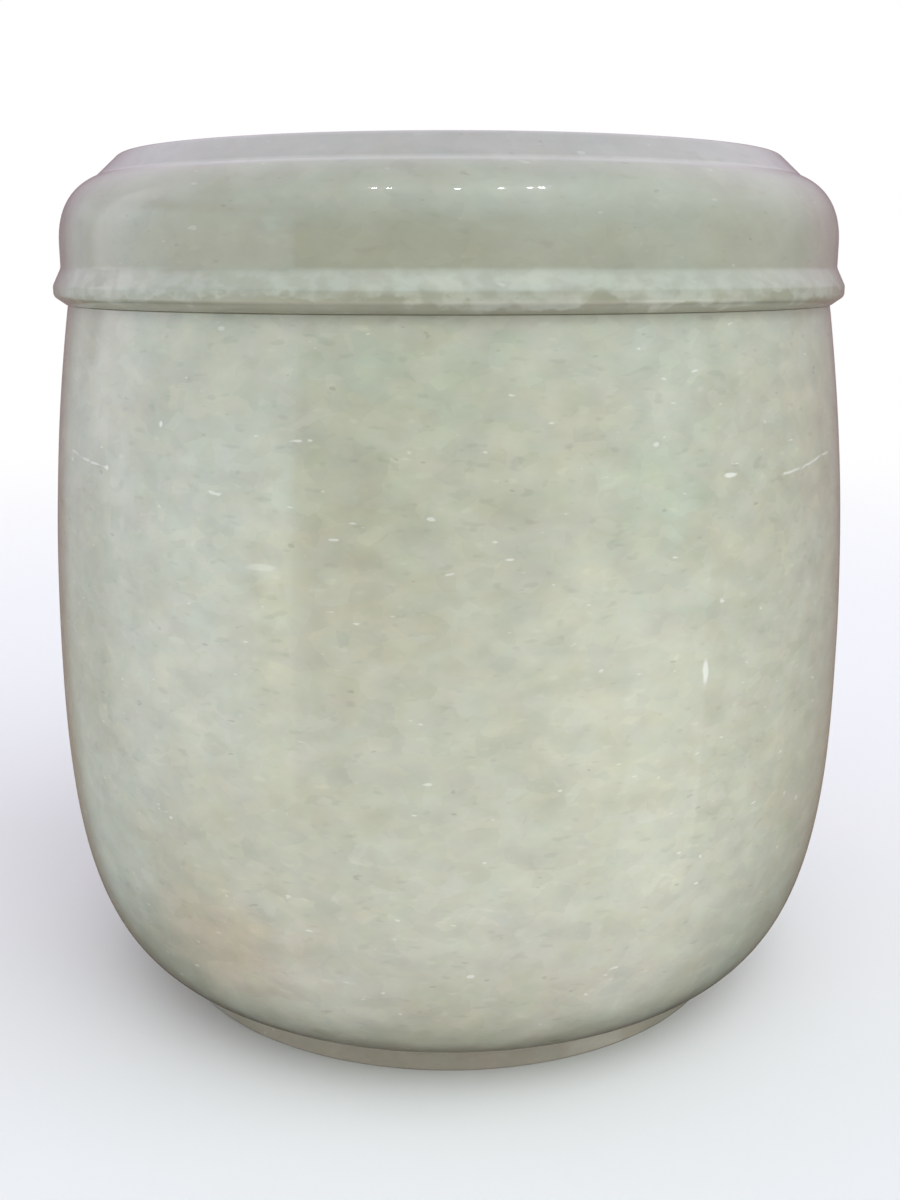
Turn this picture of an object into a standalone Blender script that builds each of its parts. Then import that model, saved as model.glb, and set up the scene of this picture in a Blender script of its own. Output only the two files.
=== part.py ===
"""A round stone urn: a hollow turned vessel on a low foot, and the lid that lifts off it.

Run it with blender --background --python part.py, or from Blender's text editor.
Units are metres and Z is up. The origin is the middle of the underside, on the urn's axis.
Both pieces are turned: each has one profile, a list of corners (radius, height, rounding),
which runs from the axis, out and down its outer side, and back to the axis.
"""

import math

import bmesh
import bpy
from mathutils import Vector
from mathutils.geometry import interpolate_bezier

# The vessel's outside
BODY_RADIUS = 0.11125  # at its widest
WIDEST_HEIGHT = 0.0972
RIM_RADIUS = 0.1039
RIM_HEIGHT = 0.1910
RIM_EDGE = 0.0015
BELLY_LIFT = 0.0025  # how high the belly's curve would close, if the foot didn't cut it
BELLY_ACROSS_POWER = 7.9  # the belly's lower curve is a superellipse with these two powers
BELLY_DOWN_POWER = 2.68
FOOT_RADIUS = 0.0825
FOOT_HEIGHT = 0.0056
FOOT_EDGE = 0.0005

# The vessel's inside
WALL = 0.015
FLOOR_THICKNESS = 0.020
FLOOR_DISH = 0.002  # how far below the floor the inner curve would close
RIM_WIDTH = 0.0159  # the land that the lid rests on
MOUTH_EDGE = 0.0008

# The lid's outside, with its heights taken from its seat on the rim
LID_GAP = 0.0003
SEAT_STANDOUT = 0.0007  # how far the seat's edge stands out past the rim
BEAD_STANDOUT = 0.0035  # how far the bead stands out past the rim
BEAD_NOSE_LOW = 0.0019
BEAD_NOSE_HIGH = 0.0046
BEAD_HEIGHT = 0.0091
BEAD_LOW_ROUNDING = 0.0016
BEAD_HIGH_ROUNDING = 0.0019
BEAD_TOP_ROUNDING = 0.0015
LID_STANDOUT = 0.0013  # how far the lid's wall stands out past the rim
LID_WALL_HEIGHT = 0.0152
SHOULDER_RISE = 0.01695
SHOULDER_INSET = 0.0102
SHOULDER_SLOPE = math.radians(22)  # where it meets the raised top
SHOULDER_SIDE_SHARE = 0.68  # length of the curve's handle up the wall, as a share of the rise
SHOULDER_TOP_SHARE = 0.39  # length of its handle at the raised top, as a share of the inset
STEP_RISE = 0.0058
STEP_INSET = 0.0062
STEP_FOOT_ROUNDING = 0.0009
STEP_TOP_ROUNDING = 0.0035
CROWN_RISE = 0.0036

# The lid's underside
SPIGOT_CLEARANCE = 0.001  # between the lid's ring and the mouth that it drops into
SPIGOT_DEPTH = 0.005
SPIGOT_WIDTH = 0.007
SPIGOT_EDGE = 0.0005
LID_THICKNESS = 0.015  # at the middle of the crown
LID_HOLLOW_WALL = 0.008  # height of the hollow's straight side above the seat
LID_HOLLOW_POWER = 2.5

# How finely the curves are cut
SEGMENTS = 60
BELLY_STEPS = 14
UPPER_WALL_STEPS = 6
INNER_BELLY_STEPS = 8
INNER_WALL_STEPS = 3
CROWN_STEPS = 4
SHOULDER_STEPS = 7
LID_HOLLOW_STEPS = 5
ROUNDING_STEPS = 2
SHARP_ANGLE = math.radians(30)
MERGE_DISTANCE = 0.000001

# The stone's colour and polish
BODY_COLOUR = (0.58, 0.60, 0.52, 1.0)
LID_COLOUR = (0.53, 0.55, 0.48, 1.0)
STONE_ROUGHNESS = 0.16


def clear_scene():
    for old in list(bpy.data.objects):
        bpy.data.objects.remove(old)


def belly_curve(radius, closing_height, lowest, steps):
    """Corners down a superellipse, from its widest level to the height `lowest`."""
    depth = WIDEST_HEIGHT - closing_height
    reach = (WIDEST_HEIGHT - lowest) / depth
    last_angle = math.asin(reach ** (BELLY_DOWN_POWER / 2))
    corners = []
    for step in range(steps + 1):
        angle = last_angle * step / steps
        across = math.cos(angle) ** (2 / BELLY_ACROSS_POWER)
        down = math.sin(angle) ** (2 / BELLY_DOWN_POWER)
        corners.append((radius * across, WIDEST_HEIGHT - depth * down, 0))
    return corners


def upper_wall_curve(radius, top_radius, edge, steps):
    """Corners up a parabola, from the widest level to the rim, whose edge is rounded."""
    corners = []
    for step in range(1, steps + 1):
        share = step / steps
        corner_radius = radius - (radius - top_radius) * share**2
        height = WIDEST_HEIGHT + (RIM_HEIGHT - WIDEST_HEIGHT) * share
        corners.append((corner_radius, height, edge if step == steps else 0))
    return corners


def mouth_radius():
    return RIM_RADIUS - RIM_WIDTH


def body_profile():
    """Up the inside from the floor, over the rim, and down the outside to the underside."""
    inner_radius = BODY_RADIUS - WALL
    inner_belly = belly_curve(inner_radius, FLOOR_THICKNESS - FLOOR_DISH, FLOOR_THICKNESS, INNER_BELLY_STEPS)
    inner_wall = upper_wall_curve(inner_radius, mouth_radius(), MOUTH_EDGE, INNER_WALL_STEPS)
    outer_wall = upper_wall_curve(BODY_RADIUS, RIM_RADIUS, RIM_EDGE, UPPER_WALL_STEPS)
    outer_belly = belly_curve(BODY_RADIUS, BELLY_LIFT, FOOT_HEIGHT, BELLY_STEPS)
    floor = [(0, FLOOR_THICKNESS, 0)]
    foot = [(FOOT_RADIUS, FOOT_HEIGHT, FOOT_EDGE), (FOOT_RADIUS, 0, FOOT_EDGE), (0, 0, 0)]
    inside = floor + inner_belly[::-1] + inner_wall
    outside = outer_wall[::-1] + outer_belly + foot
    return inside + outside


def crown_curve(top_height, edge_radius, edge_height):
    """Corners out from the axis over the lid's low dome."""
    corners = []
    for step in range(CROWN_STEPS + 1):
        share = step / CROWN_STEPS
        height = top_height - (top_height - edge_height) * share**2
        corners.append((edge_radius * share, height, 0))
    corners[-1] = (edge_radius, edge_height, STEP_TOP_ROUNDING)
    return corners


def shoulder_curve(wall_radius, step_radius, step_height):
    """Corners down the shoulder, from the foot of the raised top to the lid's wall."""
    top_pull = SHOULDER_TOP_SHARE * SHOULDER_INSET
    side_pull = SHOULDER_SIDE_SHARE * SHOULDER_RISE
    top = Vector((step_radius, step_height))
    top_handle = top + top_pull * Vector((math.cos(SHOULDER_SLOPE), -math.sin(SHOULDER_SLOPE)))
    side = Vector((wall_radius, LID_WALL_HEIGHT))
    side_handle = side + Vector((0, side_pull))
    points = interpolate_bezier(top, top_handle, side_handle, side, SHOULDER_STEPS + 1)
    corners = [(point.x, point.y, 0) for point in points]
    corners[0] = (step_radius, step_height, STEP_FOOT_ROUNDING)
    return corners


def bead_corners(wall_radius):
    """Corners down the bead, from the lid's wall to the edge of its seat."""
    nose_radius = RIM_RADIUS + BEAD_STANDOUT
    return [
        (wall_radius, BEAD_HEIGHT, BEAD_TOP_ROUNDING),
        (nose_radius, BEAD_NOSE_HIGH, BEAD_HIGH_ROUNDING),
        (nose_radius, BEAD_NOSE_LOW, BEAD_LOW_ROUNDING),
        (RIM_RADIUS + SEAT_STANDOUT, 0, 0),
    ]


def underside_corners(crown_height):
    """Corners from the lid's seat, round its ring and up into its hollow to the axis."""
    ring_radius = mouth_radius() - SPIGOT_CLEARANCE
    hollow_radius = ring_radius - SPIGOT_WIDTH
    hollow_rise = crown_height - LID_THICKNESS - LID_HOLLOW_WALL
    corners = [
        (ring_radius, 0, 0),
        (ring_radius, -SPIGOT_DEPTH, SPIGOT_EDGE),
        (hollow_radius, -SPIGOT_DEPTH, SPIGOT_EDGE),
    ]
    for step in range(LID_HOLLOW_STEPS):
        angle = math.radians(90) * step / LID_HOLLOW_STEPS
        across = math.cos(angle) ** (2 / LID_HOLLOW_POWER)
        up = math.sin(angle) ** (2 / LID_HOLLOW_POWER)
        corners.append((hollow_radius * across, LID_HOLLOW_WALL + hollow_rise * up, 0))
    corners.append((0, LID_HOLLOW_WALL + hollow_rise, 0))
    return corners


def lid_profile():
    """Out over the crown, down the shoulder and the bead, and back under the lid."""
    wall_radius = RIM_RADIUS + LID_STANDOUT
    step_radius = wall_radius - SHOULDER_INSET
    step_height = LID_WALL_HEIGHT + SHOULDER_RISE
    crown_edge_radius = step_radius - STEP_INSET
    crown_edge_height = step_height + STEP_RISE
    crown_height = crown_edge_height + CROWN_RISE
    crown = crown_curve(crown_height, crown_edge_radius, crown_edge_height)
    shoulder = shoulder_curve(wall_radius, step_radius, step_height)
    return crown + shoulder + bead_corners(wall_radius) + underside_corners(crown_height)


def rounded(corners):
    """The profile's points, with an arc in place of each corner that has a rounding."""
    points = []
    for index, (radius, height, rounding) in enumerate(corners):
        corner = Vector((radius, height))
        if rounding == 0:
            points.append(corner)
            continue
        before = Vector(corners[index - 1][:2]) - corner
        after = Vector(corners[index + 1][:2]) - corner
        half_angle = before.angle(after) / 2
        room = min(before.length, after.length) / 2
        cut = min(rounding / math.tan(half_angle), room)
        arc_radius = cut * math.tan(half_angle)
        towards_centre = (before.normalized() + after.normalized()).normalized()
        centre = corner + towards_centre * (arc_radius / math.sin(half_angle))
        first = corner + before.normalized() * cut - centre
        last = corner + after.normalized() * cut - centre
        for step in range(ROUNDING_STEPS + 1):
            points.append(centre + arc_radius * first.slerp(last, step / ROUNDING_STEPS))
    return points


def stone(name, colour):
    material = bpy.data.materials.new(name)
    material.use_nodes = True
    shader = material.node_tree.nodes["Principled BSDF"]
    shader.inputs["Base Color"].default_value = colour
    shader.inputs["Roughness"].default_value = STONE_ROUGHNESS
    shader.inputs["Metallic"].default_value = 0.0
    material.diffuse_color = colour
    return material


def turned(name, corners, material, parent):
    """A closed solid, made by spinning a profile once round the Z axis."""
    shape = bmesh.new()
    vertices = [shape.verts.new((point.x, 0, point.y)) for point in rounded(corners)]
    edges = [shape.edges.new(pair) for pair in zip(vertices, vertices[1:])]
    bmesh.ops.spin(
        shape,
        geom=vertices + edges,
        cent=(0, 0, 0),
        axis=(0, 0, 1),
        angle=math.tau,
        steps=SEGMENTS,
        use_merge=True,
    )
    bmesh.ops.remove_doubles(shape, verts=shape.verts, dist=MERGE_DISTANCE)
    bmesh.ops.recalc_face_normals(shape, faces=shape.faces)
    mesh = bpy.data.meshes.new(name)
    shape.to_mesh(mesh)
    shape.free()
    mesh.shade_smooth()
    mesh.set_sharp_from_angle(angle=SHARP_ANGLE)
    mesh.materials.append(material)
    piece = bpy.data.objects.new(name, mesh)
    bpy.context.collection.objects.link(piece)
    piece.parent = parent
    return piece


def make_urn():
    clear_scene()
    urn = bpy.data.objects.new("urn", None)
    bpy.context.collection.objects.link(urn)
    turned("body", body_profile(), stone("body_stone", BODY_COLOUR), urn)
    lid = turned("lid", lid_profile(), stone("lid_stone", LID_COLOUR), urn)
    lid.location.z = RIM_HEIGHT + LID_GAP


make_urn()
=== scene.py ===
"""Dresses the stone urn: a turned body and a lift-off lid in polished pale stone.

The file is laid out as an add-on and is run as a script. Units are metres and Z is up.
The photograph's viewing side is -Y. An azimuth counts from that side, positive to the right.
"""

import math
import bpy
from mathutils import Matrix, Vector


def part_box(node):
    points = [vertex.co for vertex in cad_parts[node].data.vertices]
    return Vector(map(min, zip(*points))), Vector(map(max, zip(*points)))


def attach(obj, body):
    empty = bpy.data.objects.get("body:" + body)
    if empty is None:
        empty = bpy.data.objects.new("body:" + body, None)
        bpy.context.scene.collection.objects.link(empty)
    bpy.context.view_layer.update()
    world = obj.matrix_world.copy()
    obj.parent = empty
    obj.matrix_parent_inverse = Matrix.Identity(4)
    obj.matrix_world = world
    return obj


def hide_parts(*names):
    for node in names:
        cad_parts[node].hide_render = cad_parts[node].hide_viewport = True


bl_info = {
    "name": "Stone Urn",
    "version": (1, 0, 0),
    "blender": (4, 5, 0),
    "location": "3D View > Sidebar > Urn",
    "description": "Turns a polished stone urn and its lid and sets them in a pale studio",
    "category": "Object",
}

from collections import namedtuple

import bmesh
import bpy
from bpy.props import FloatProperty, FloatVectorProperty, IntProperty, PointerProperty
from mathutils import Euler, Vector
from mathutils.geometry import interpolate_bezier

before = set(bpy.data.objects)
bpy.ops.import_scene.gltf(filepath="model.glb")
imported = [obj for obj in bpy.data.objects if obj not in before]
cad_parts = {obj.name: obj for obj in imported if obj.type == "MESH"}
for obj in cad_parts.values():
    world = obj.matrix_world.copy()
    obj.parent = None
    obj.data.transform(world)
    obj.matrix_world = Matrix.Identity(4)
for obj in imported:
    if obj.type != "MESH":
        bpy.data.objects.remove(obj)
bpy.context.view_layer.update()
BODY_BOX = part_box("body")
LID_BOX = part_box("lid")

# How the lid's heights follow from the frame: the seat is dropped, so that the joint looks closed
LID_GAP = 0.0003
SEAT_DROP = 0.00027
SEAT_HEIGHT = BODY_BOX[1].z + LID_GAP
RING_DEPTH = SEAT_HEIGHT - LID_BOX[0].z
LID_RISE = LID_BOX[1].z - SEAT_HEIGHT

# How finely the turned forms are cut
ROUNDING_STEPS = 6
SUPPORT_DISTANCE = 0.0003
LONGEST_STEP = 0.004
SHARP_ANGLE = math.radians(50)
FREE_DISTANCE = 0.012


def amount(name, description, default, **settings):
    return FloatProperty(name=name, description=description, default=default, min=0, **settings)


def length(name, description, default):
    return amount(name, description, default, unit="LENGTH")


def colour(name, description, default):
    return FloatVectorProperty(
        name=name, description=description, default=default, size=3, subtype="COLOR", min=0, max=1
    )


class UrnBodySizes(bpy.types.PropertyGroup):
    """Sizes of the turned body"""

    radius: length("Radius", "Radius at the widest level", BODY_BOX[1].x)
    widest_height: length("Widest level", "Height of the widest level", 0.0972)
    rim_radius: length("Rim radius", "Outer radius of the rim under the lid", 0.1039)
    rim_height: length("Rim height", "Height of the rim that the lid rests on", BODY_BOX[1].z)
    rim_edge: length("Rim edge", "Rounding of the rim's outer edge", 0.0004)
    rim_width: length("Rim width", "Width of the rim from outer edge to mouth", 0.0159)
    mouth_edge: length("Mouth edge", "Rounding of the mouth's edge", 0.0008)
    belly_lift: length("Belly lift", "Height where the belly's curve would close under the foot", 0.0025)
    foot_radius: length("Foot radius", "Radius of the low round foot", 0.0825)
    foot_height: length("Foot height", "Height of the foot below the belly", 0.0056)
    foot_edge: length("Foot edge", "Rounding of the foot's lower edge", 0.0005)
    wall: length("Wall", "Thickness of the wall", 0.015)
    floor_thickness: length("Floor thickness", "Thickness of the stone under the hollow", 0.020)
    floor_dish: length("Floor dish", "How far under the floor the inner curve would close", 0.002)


class UrnLidSizes(bpy.types.PropertyGroup):
    """Sizes of the turned lid, with heights from its seat on the rim"""

    seat_standout: length("Seat standout", "How far the seat's edge stands out past the rim", 0.0005)
    bead_standout: length("Bead standout", "How far the bead stands out past the rim", 0.0035)
    bead_nose_low: length("Bead nose, low", "Height of the lower end of the bead's nose", 0.0019)
    bead_nose_high: length("Bead nose, high", "Height of the upper end of the bead's nose", 0.0046)
    bead_height: length("Bead height", "Height where the bead meets the lid's wall", 0.0091)
    bead_low_rounding: length("Bead rounding, low", "Rounding under the nose", 0.0016)
    bead_high_rounding: length("Bead rounding, high", "Rounding over the nose", 0.0019)
    bead_top_rounding: length("Bead rounding, top", "Rounding between the bead and the wall", 0.0024)
    standout: length("Wall standout", "How far the lid's wall stands out past the rim", 0.0013)
    wall_height: length("Wall height", "Height of the top of the lid's upright wall", 0.0152)
    shoulder_rise: length("Shoulder rise", "Height of the round shoulder", 0.01695)
    shoulder_inset: length("Shoulder inset", "How far the shoulder comes in", 0.0102)
    step_rise: length("Step rise", "Height of the step up to the raised top", 0.0058)
    step_inset: length("Step inset", "How far the step comes in", 0.0062)
    step_foot_rounding: length("Step foot rounding", "Rounding of the groove at the step's foot", 0.0009)
    step_top_rounding: length("Step top rounding", "Rounding of the step's upper edge", 0.0035)
    ring_clearance: length("Ring clearance", "Room between the lid's ring and the mouth", 0.001)
    ring_width: length("Ring width", "Width of the ring under the lid", 0.007)
    ring_edge: length("Ring edge", "Rounding of the ring's edges", 0.0005)
    thickness: length("Thickness", "Thickness of the stone at the middle of the lid", 0.015)
    hollow_wall: length("Hollow wall", "Height of the hollow's upright side above the seat", 0.008)


class UrnTurning(bpy.types.PropertyGroup):
    """How both pieces are turned"""

    sides: IntProperty(name="Sides", description="Faces round each piece", default=256, min=12)
    unevenness: length("Unevenness", "How far the hand-polished surface wanders", 0.00016)
    unevenness_size: length("Unevenness size", "Size of the waves in the surface", 0.045)
    seed: IntProperty(name="Seed", description="Picks another set of waves", default=4, min=0)


class UrnStoneLook(bpy.types.PropertyGroup):
    """Colours and polish of the stone, with painted shade, highlights and reflections among the colours"""

    body_colour: colour("Body", "Main colour of the body's stone", (0.470, 0.480, 0.385))
    body_cool: colour("Body, cool clouds", "Cooler paler clouds in the body", (0.490, 0.508, 0.425))
    body_warm: colour("Body, warm clouds", "Browner clouds in the body", (0.455, 0.452, 0.345))
    # The lid is of the body's stone; its darker colours are partly painted shade, as it gets less light
    lid_colour_and_shade: colour("Lid", "Main colour of the lid's stone", (0.350, 0.362, 0.285))
    lid_cool_and_shade: colour("Lid, cool clouds", "Cooler paler clouds in the lid", (0.372, 0.388, 0.318))
    lid_olive_and_shade: colour("Lid, olive clouds", "Olive clouds in the lid", (0.335, 0.342, 0.262))
    # Painted reflection: the bead's pale band is mostly reflected light, laid over its stone
    bead_reflection_colour: colour("Bead", "Painted reflection along the bead", (0.415, 0.434, 0.358))
    # Painted shade on the bead's underside
    bead_shade: colour("Under the bead", "Painted shade on the bead's underside", (0.300, 0.308, 0.232))
    # Painted shade along the joint, at the foot of the lid
    joint_shade: colour("Lid's joint", "Darkest painted shade, along the joint", (0.235, 0.238, 0.172))
    # Painted reflection: rosy colour round the raised top's edge, as its polish would reflect the room
    top_reflection_colour: colour("Raised top", "Painted rosy reflection round the raised top's edge", (0.376, 0.370, 0.345))
    # Painted highlight: a pale line round the foot of the raised top
    step_highlight_colour: colour("Step line", "Painted highlight round the foot of the raised top", (0.50, 0.50, 0.46))
    fleck_colour: colour("Flecks", "Small white crystals", (0.78, 0.79, 0.74))
    pit_colour: colour("Pits", "Tiny dark pits", (0.24, 0.23, 0.18))
    # Pale lines: the two at the sides are painted reflections, the one at the back a healed crack
    hairline_colour: colour("Hairlines", "Pale lines: a healed crack at the back, painted reflections at the sides", (0.74, 0.75, 0.70))
    # Painted shade: the body's stone darkened just under the lid's overhang
    under_lid_shade_colour: colour("Shade under the lid", "Painted shade just under the lid", (0.34, 0.335, 0.255))
    # A darker, browner band towards the bottom
    low_band_colour: colour("Low band", "Browner, darker band low on the body", (0.33, 0.295, 0.235))
    # The foot is coloured darker than the body
    foot_colour: colour("Foot", "The foot, darker than the body", (0.215, 0.215, 0.175))
    roughness: amount("Roughness", "Roughness of the stone under its polish", 0.32, max=1)
    coat: amount("Polish", "Weight of the clear polish", 1.0, max=1)
    coat_roughness: amount("Polish roughness", "Roughness of the clear polish", 0.03, max=1)


class UrnStageLook(bpy.types.PropertyGroup):
    """The floor, the lights and the camera"""

    floor_radius: length("Floor radius", "Radius of the pale floor", 12.0)
    floor_colour: colour("Floor", "Colour of the floor", (0.86, 0.86, 0.855))
    backdrop: colour("Backdrop", "Colour behind the floor", (1.0, 1.0, 1.0))
    room_strength: amount("Room", "Strength of the room's light", 1.0)
    key_strength: amount("Key light", "Soft light from the right", 1.53)
    key_colour: colour("Key colour", "Colour of the light from the right", (0.88, 0.97, 1.0))
    fill_strength: amount("Fill light", "Soft light from the front", 0.60)
    fill_colour: colour("Fill colour", "Colour of the light from the front", (0.95, 1.0, 0.74))
    lamp_power: amount("Lamps", "Power of each small lamp", 1.0)
    lamp_radius: length("Lamp radius", "Radius of each small lamp", 0.014)
    camera_side: length("Camera side", "How far the camera stands right of the urn's axis", 0.0003)
    camera_distance: length("Camera distance", "Distance from the urn's axis", 0.4036)
    camera_height: length("Camera height", "Height of the camera", 0.2013)
    camera_pitch: amount("Camera pitch", "How far it looks down", math.radians(13.484), subtype="ANGLE")
    camera_lens: amount("Lens", "Focal length for a 36 mm frame height", 42.0, subtype="DISTANCE_CAMERA")


class UrnSettings(bpy.types.PropertyGroup):
    """Everything that can be set on the urn"""

    body: PointerProperty(type=UrnBodySizes)
    lid: PointerProperty(type=UrnLidSizes)
    turning: PointerProperty(type=UrnTurning)
    stone: PointerProperty(type=UrnStoneLook)
    stage: PointerProperty(type=UrnStageLook)


# Profiles: each corner is (radius, height, rounding), from the axis out and back to the axis
BELLY_ACROSS_POWER = 7.9
BELLY_DOWN_POWER = 2.68
LID_HOLLOW_POWER = 2.5
SHOULDER_SLOPE = math.radians(22)
SHOULDER_SIDE_SHARE = 0.68
SHOULDER_TOP_SHARE = 0.39
OUTER_BELLY_STEPS = 56
OUTER_WALL_STEPS = 28
INNER_BELLY_STEPS = 24
INNER_WALL_STEPS = 10
CROWN_STEPS = 18
SHOULDER_STEPS = 20
LID_HOLLOW_STEPS = 12


def belly_curve(sizes, radius, closing_height, lowest, steps):
    """Corners down a superellipse, from the widest level to the height `lowest`."""
    depth = sizes.widest_height - closing_height
    reach = (sizes.widest_height - lowest) / depth
    last_angle = math.asin(reach ** (BELLY_DOWN_POWER / 2))
    corners = []
    for step in range(steps + 1):
        angle = last_angle * step / steps
        across = math.cos(angle) ** (2 / BELLY_ACROSS_POWER)
        down = math.sin(angle) ** (2 / BELLY_DOWN_POWER)
        corners.append((radius * across, sizes.widest_height - depth * down, 0))
    return corners


def upper_wall_curve(sizes, radius, top_radius, edge, steps):
    """Corners up a parabola, from the widest level to the rim."""
    corners = []
    for step in range(1, steps + 1):
        share = step / steps
        height = sizes.widest_height + (sizes.rim_height - sizes.widest_height) * share
        rounding = edge if step == steps else 0
        corners.append((radius - (radius - top_radius) * share**2, height, rounding))
    return corners


def mouth_radius(sizes):
    return sizes.rim_radius - sizes.rim_width


def body_inside(sizes):
    """Corners from the middle of the floor, up the hollow and over the mouth."""
    radius = sizes.radius - sizes.wall
    closing_height = sizes.floor_thickness - sizes.floor_dish
    belly = belly_curve(sizes, radius, closing_height, sizes.floor_thickness, INNER_BELLY_STEPS)
    wall = upper_wall_curve(sizes, radius, mouth_radius(sizes), sizes.mouth_edge, INNER_WALL_STEPS)
    return [(0, sizes.floor_thickness, 0)] + belly[::-1] + wall


def body_outside(sizes):
    """Corners from the rim down the wall, belly and foot to the middle of the underside."""
    wall = upper_wall_curve(sizes, sizes.radius, sizes.rim_radius, sizes.rim_edge, OUTER_WALL_STEPS)
    belly = belly_curve(sizes, sizes.radius, sizes.belly_lift, sizes.foot_height, OUTER_BELLY_STEPS)
    radius, edge = sizes.foot_radius, sizes.foot_edge
    foot = [(radius, sizes.foot_height, edge), (radius, 0, edge), (0, 0, 0)]
    return wall[::-1] + belly + foot


def crown_curve(sizes, edge_radius, edge_height):
    """Corners out from the axis over the lid's low dome to the edge of its raised top."""
    corners = []
    for step in range(CROWN_STEPS + 1):
        share = step / CROWN_STEPS
        corners.append((edge_radius * share, LID_RISE - (LID_RISE - edge_height) * share**2, 0))
    corners[-1] = (edge_radius, edge_height, sizes.step_top_rounding)
    return corners


def shoulder_curve(sizes, wall_radius, step_radius, step_height):
    """Corners down the shoulder, from the foot of the raised top to the lid's wall."""
    slope = Vector((math.cos(SHOULDER_SLOPE), -math.sin(SHOULDER_SLOPE)))
    top = Vector((step_radius, step_height))
    top_handle = top + SHOULDER_TOP_SHARE * sizes.shoulder_inset * slope
    side = Vector((wall_radius, sizes.wall_height))
    side_handle = side + Vector((0, SHOULDER_SIDE_SHARE * sizes.shoulder_rise))
    points = interpolate_bezier(top, top_handle, side_handle, side, SHOULDER_STEPS + 1)
    corners = [(point.x, point.y, 0) for point in points]
    corners[0] = (step_radius, step_height, sizes.step_foot_rounding)
    return corners


def lid_outside(sizes, rim_radius):
    """Corners over the crown and down the shoulder and the bead to the edge of the seat."""
    wall_radius = rim_radius + sizes.standout
    nose_radius = rim_radius + sizes.bead_standout
    step_radius = wall_radius - sizes.shoulder_inset
    step_height = sizes.wall_height + sizes.shoulder_rise
    crown = crown_curve(sizes, step_radius - sizes.step_inset, step_height + sizes.step_rise)
    shoulder = shoulder_curve(sizes, wall_radius, step_radius, step_height)
    bead = [
        (wall_radius, sizes.bead_height, sizes.bead_top_rounding),
        (nose_radius, sizes.bead_nose_high, sizes.bead_high_rounding),
        (nose_radius, sizes.bead_nose_low, sizes.bead_low_rounding),
        (rim_radius + sizes.seat_standout, -SEAT_DROP, 0),
    ]
    return crown + shoulder + bead


def lid_underside(sizes, mouth):
    """Corners from the seat round the ring and up into the hollow to the axis."""
    ring_radius = mouth - sizes.ring_clearance
    hollow_radius = ring_radius - sizes.ring_width
    hollow_rise = LID_RISE - sizes.thickness - sizes.hollow_wall
    corners = [
        (ring_radius, -SEAT_DROP, 0),
        (ring_radius, -RING_DEPTH, sizes.ring_edge),
        (hollow_radius, -RING_DEPTH, sizes.ring_edge),
    ]
    for step in range(LID_HOLLOW_STEPS):
        angle = math.radians(90) * step / LID_HOLLOW_STEPS
        across = math.cos(angle) ** (2 / LID_HOLLOW_POWER)
        up = math.sin(angle) ** (2 / LID_HOLLOW_POWER)
        corners.append((hollow_radius * across, sizes.hollow_wall + hollow_rise * up, 0))
    corners.append((0, sizes.hollow_wall + hollow_rise, 0))
    return corners


def rounded(corners):
    """The profile's points, with an arc in place of each corner that has a rounding."""
    points = []
    for index, (radius, height, rounding) in enumerate(corners):
        corner = Vector((radius, height))
        if rounding == 0:
            points.append(corner)
            continue
        before = Vector(corners[index - 1][:2]) - corner
        after = Vector(corners[index + 1][:2]) - corner
        half_angle = before.angle(after) / 2
        room = min(before.length, after.length) / 2
        cut = min(rounding / math.tan(half_angle), room)
        arc_radius = cut * math.tan(half_angle)
        towards_centre = (before.normalized() + after.normalized()).normalized()
        centre = corner + towards_centre * (arc_radius / math.sin(half_angle))
        first = corner + before.normalized() * cut - centre
        last = corner + after.normalized() * cut - centre
        for step in range(ROUNDING_STEPS + 1):
            points.append(centre + arc_radius * first.slerp(last, step / ROUNDING_STEPS))
    return points


def supported(points):
    """The same line with points close to the ends of its long stretches, so they shade flat."""
    result = [points[0]]
    for start, end in zip(points, points[1:]):
        span = end - start
        if span.length > LONGEST_STEP:
            ends = SUPPORT_DISTANCE / span.length
            count = math.ceil(span.length / LONGEST_STEP)
            shares = [ends] + [step / count for step in range(1, count)] + [1 - ends]
            result += [start + span * share for share in shares]
        result.append(end)
    return result


# Nodes: what every tree uses, then the tree that turns a profile into a closed piece
def add_node(tree, kind, inputs=None, **settings):
    """A new node with its settings, and with a value or a link for each input that is named."""
    node = tree.nodes.new(kind)
    for key, value in settings.items():
        setattr(node, key, value)
    for key, value in (inputs or {}).items():
        if isinstance(value, bpy.types.NodeSocket):
            tree.links.new(value, node.inputs[key])
        else:
            node.inputs[key].default_value = value
    return node


def maths(tree, operation, *values):
    """The output of one Math node, of one to three values or links."""
    return add_node(tree, "ShaderNodeMath", dict(enumerate(values)), operation=operation).outputs[0]


def vector_maths(tree, operation, *values, **settings):
    """The output of one Vector Math node, which is a number where the operation gives one."""
    inputs = dict(enumerate(values))
    node = add_node(tree, "ShaderNodeVectorMath", inputs, operation=operation, **settings)
    return node.outputs["Value" if operation in ("LENGTH", "DOT_PRODUCT") else "Vector"]


def eased_map(tree, value, low, high, to_low=0.0, to_high=1.0):
    """The value, eased from the span low to high into the span to_low to to_high."""
    inputs = {0: value, 1: low, 2: high, 3: to_low, 4: to_high}
    return add_node(tree, "ShaderNodeMapRange", inputs, interpolation_type="SMOOTHSTEP").outputs[0]


TURNING_INPUTS = {
    "Profile": "Geometry",
    "Profile Points": "Int",
    "Sides": "Int",
    "Unevenness": "Float",
    "Unevenness Size": "Float",
    "Seed": "Int",
    "Stone": "Material",
}
MERGE_DISTANCE = 0.000001


def at_point(tree, profile, value, index, data_type):
    """The value that the profile has at the point of that index."""
    inputs = {"Geometry": profile, "Value": value, "Index": index}
    return add_node(tree, "GeometryNodeSampleIndex", inputs, data_type=data_type, domain="POINT").outputs[0]


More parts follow.
